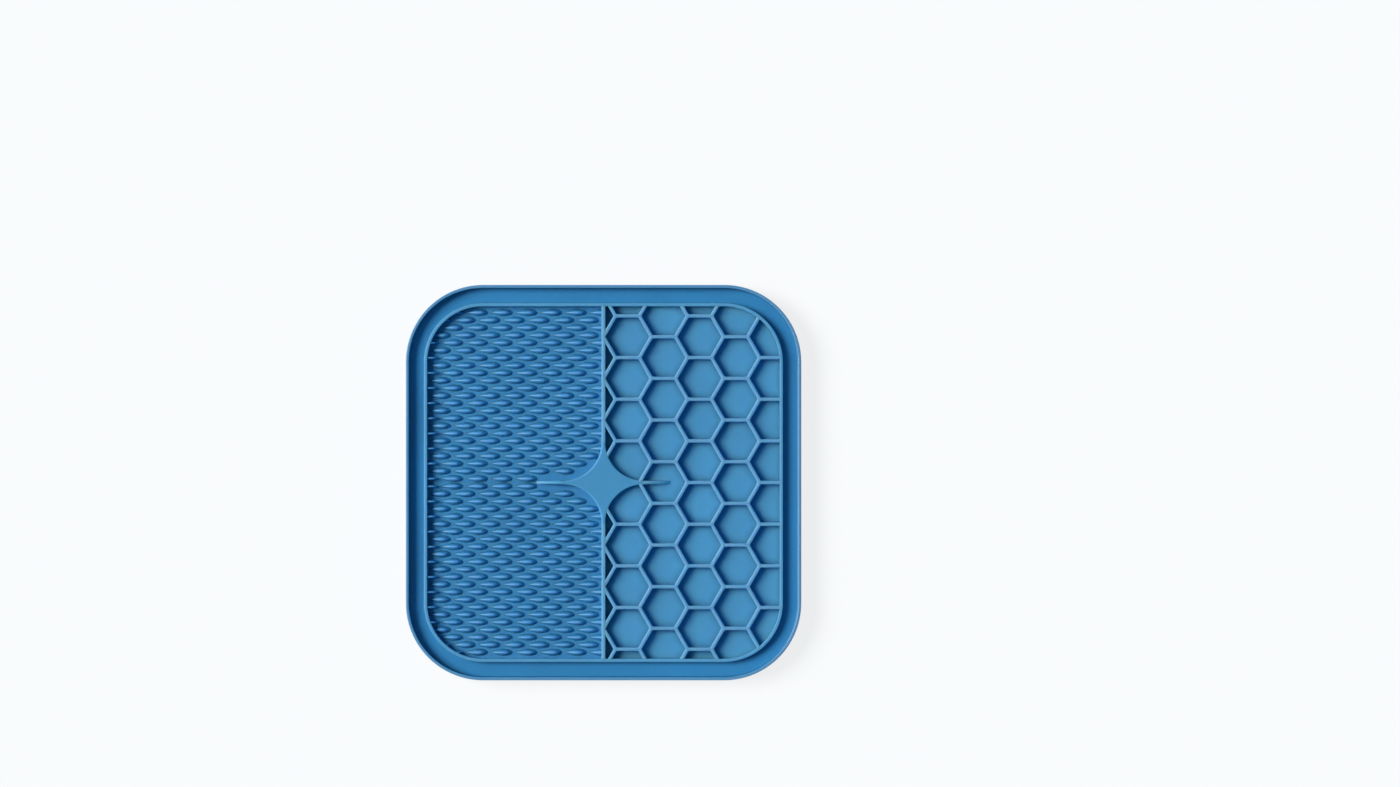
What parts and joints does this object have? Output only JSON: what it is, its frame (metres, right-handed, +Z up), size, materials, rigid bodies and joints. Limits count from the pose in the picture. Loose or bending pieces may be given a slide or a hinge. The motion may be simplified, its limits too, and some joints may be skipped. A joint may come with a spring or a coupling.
{
  "type": "lick mat",
  "caption": "Square silicone lick mat with a raised rim and gutter, wedge-shaped nubs on the left half, honeycomb cells on the right, a centre star and suction cups underneath.",
  "frame": {"origin": "middle of the mat, on the plane that the suction cup lips stand on", "axes": "+Z up out of the licking side, +X towards the honeycomb half, +Y along the divider"},
  "size_m": [0.2, 0.2, 0.011],
  "materials": {
    "mat_silicone": "satin",
    "cup_silicone": "satin"
  },
  "bodies": {
    "mat": {"base_sheet": "mat_silicone", "rim_wall": "mat_silicone", "gutter_floor": "mat_silicone", "inner_ridge": "mat_silicone", "divider_upper": "mat_silicone", "divider_lower": "mat_silicone", "centre_star": "mat_silicone", "star_rib_left": "mat_silicone", "star_rib_right": "mat_silicone", "honeycomb_walls": "mat_silicone", "nub_panel_upper": "mat_silicone", "nub_panel_lower": "mat_silicone"},
    "suction_cups": {"cup_skirt_01": "cup_silicone", "cup_skirt_02": "cup_silicone", "cup_skirt_03": "cup_silicone", "cup_skirt_04": "cup_silicone", "cup_skirt_05": "cup_silicone", "cup_skirt_06": "cup_silicone", "cup_skirt_07": "cup_silicone", "cup_skirt_08": "cup_silicone", "cup_skirt_09": "cup_silicone", "cup_skirt_10": "cup_silicone", "cup_skirt_11": "cup_silicone", "cup_skirt_12": "cup_silicone", "cup_skirt_13": "cup_silicone", "cup_skirt_14": "cup_silicone", "cup_skirt_15": "cup_silicone", "cup_skirt_16": "cup_silicone", "cup_lip_01": "cup_silicone", "cup_lip_02": "cup_silicone", "cup_lip_03": "cup_silicone", "cup_lip_04": "cup_silicone", "cup_lip_05": "cup_silicone", "cup_lip_06": "cup_silicone", "cup_lip_07": "cup_silicone", "cup_lip_08": "cup_silicone", "cup_lip_09": "cup_silicone", "cup_lip_10": "cup_silicone", "cup_lip_11": "cup_silicone", "cup_lip_12": "cup_silicone", "cup_lip_13": "cup_silicone", "cup_lip_14": "cup_silicone", "cup_lip_15": "cup_silicone", "cup_lip_16": "cup_silicone"}
  },
  "joints": [
    {"name": "cups_press", "type": "slide", "parent": "mat", "child": "suction_cups", "axis": [0, 0, 1], "range_m": [0, 0.0015], "deforming": ["cup_skirt_01", "cup_skirt_02", "cup_skirt_03", "cup_skirt_04", "cup_skirt_05", "cup_skirt_06", "cup_skirt_07", "cup_skirt_08", "cup_skirt_09", "cup_skirt_10", "cup_skirt_11", "cup_skirt_12", "cup_skirt_13", "cup_skirt_14", "cup_skirt_15", "cup_skirt_16"]}
  ]
}
